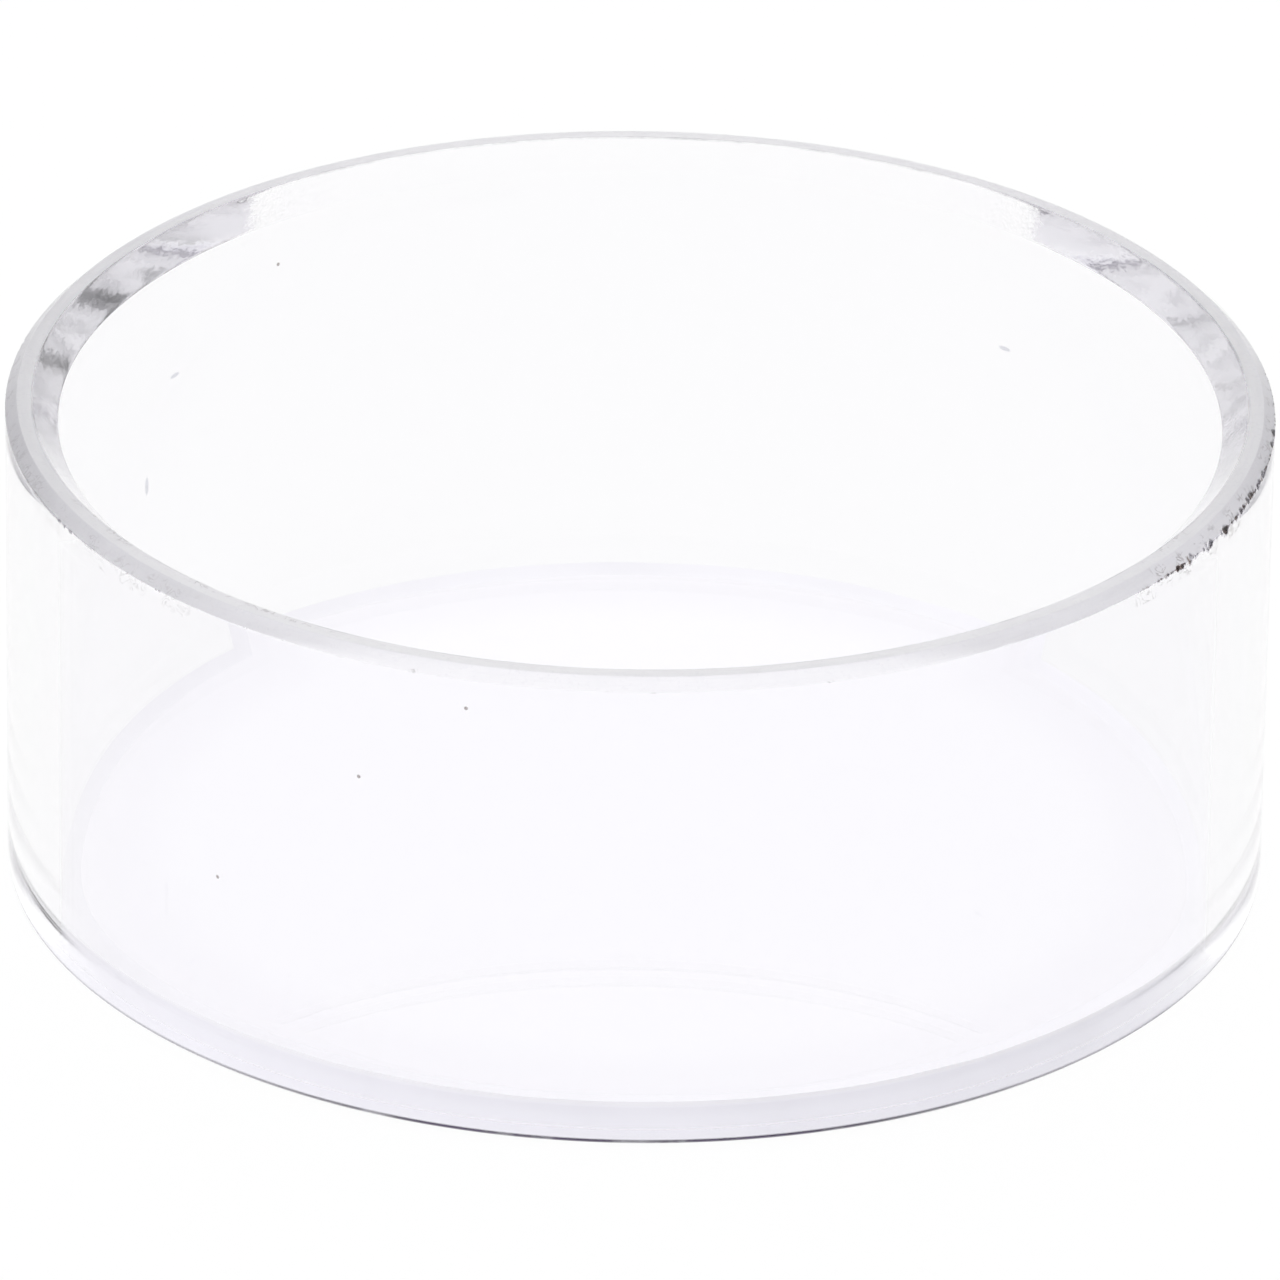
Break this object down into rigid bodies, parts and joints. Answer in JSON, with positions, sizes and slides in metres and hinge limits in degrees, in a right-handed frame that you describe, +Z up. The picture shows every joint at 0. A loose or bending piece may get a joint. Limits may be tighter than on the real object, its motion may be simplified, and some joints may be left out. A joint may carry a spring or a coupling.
{
  "type": "crystallizing dish",
  "caption": "Low, wide, open-topped clear dish: straight thick tube wall with a ground and bevelled rim, and a thin flat floor disc cemented flush into the foot.",
  "frame": {"origin": "centre of the foot, on the surface that the dish stands on", "axes": "+Z up along the dish's axis, out of its mouth; +X and +Y are any two directions across it, because it is round"},
  "size_m": [0.12, 0.12, 0.048],
  "materials": {
    "wall_glass": "clear and polished on the round faces, ground and frosted on the rim",
    "floor_glass": "clear and polished, with a frosted cut edge",
    "cement": "cured clear cement, slightly hazy"
  },
  "bodies": {
    "root": {"side_wall": "wall_glass", "floor_disc": "floor_glass", "cement_joint": "cement"}
  },
  "joints": []
}
